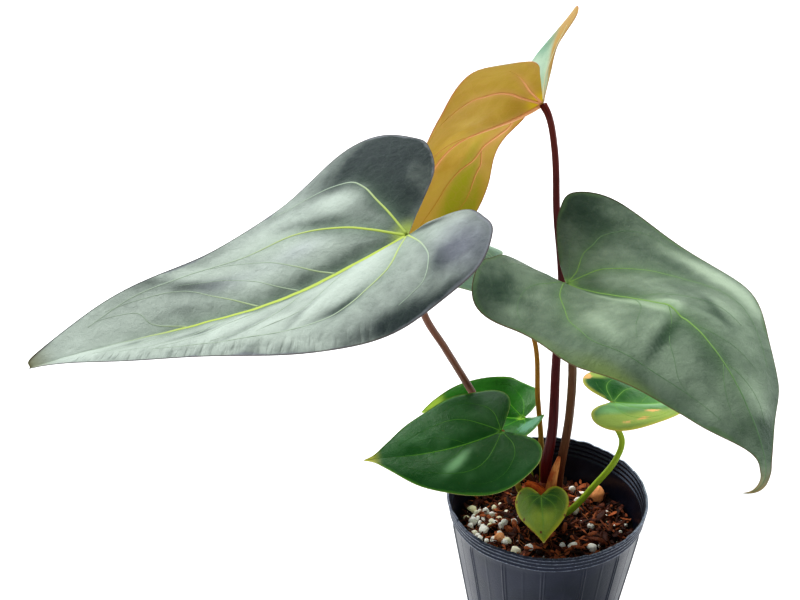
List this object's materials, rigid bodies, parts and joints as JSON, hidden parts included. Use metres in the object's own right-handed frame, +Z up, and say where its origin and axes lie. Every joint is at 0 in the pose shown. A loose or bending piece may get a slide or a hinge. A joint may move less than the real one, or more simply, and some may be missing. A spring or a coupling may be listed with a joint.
{
  "type": "potted anthurium hybrid",
  "caption": "Aroid house plant with heart-shaped velvety, bronze and green leaves on long petioles, growing from a short crown in a black nursery pot of coir mix.",
  "frame": {"origin": "middle of the pot's underside, on the surface it stands on", "axes": "+Z up, -Y towards the small leaf over the front of the mix, -X towards the long velvet leaf"},
  "size_m": [0.328, 0.2495, 0.3341],
  "materials": {
    "pot": "satin black, thin nursery plastic",
    "potting_mix": "coir chips and fibres with white pumice beads",
    "crown": "reddish-brown crown with papery orange sheaths",
    "velvet_leaf": "dark grey-green velvet with a pale sheen and lime main veins",
    "new_leaf": "young bronze-orange underside with pink veins, pale mint upper side",
    "pale_leaf": "pale mint green",
    "glossy_leaf": "glossy mid-green with lime veins",
    "yellowing_leaf": "green turning yellow at the margin, brown spots",
    "brown_petiole": "brown with an olive tint, satin",
    "maroon_petiole": "dark maroon, satin",
    "olive_petiole": "ochre-olive, satin",
    "green_petiole": "lime green, satin"
  },
  "bodies": {
    "root": {"pot": "pot", "potting_mix": "potting_mix", "crown": "crown", "blade_left": "velvet_leaf", "petiole_left": "brown_petiole", "blade_right": "velvet_leaf", "petiole_right": "brown_petiole", "blade_new": "new_leaf", "petiole_new": "maroon_petiole", "blade_pale": "pale_leaf", "petiole_pale": "olive_petiole", "blade_front": "glossy_leaf", "petiole_front": "brown_petiole", "blade_inner": "glossy_leaf", "petiole_inner": "green_petiole", "blade_yellow": "yellowing_leaf", "petiole_yellow": "green_petiole", "blade_little": "yellowing_leaf", "petiole_little": "green_petiole"}
  },
  "joints": []
}
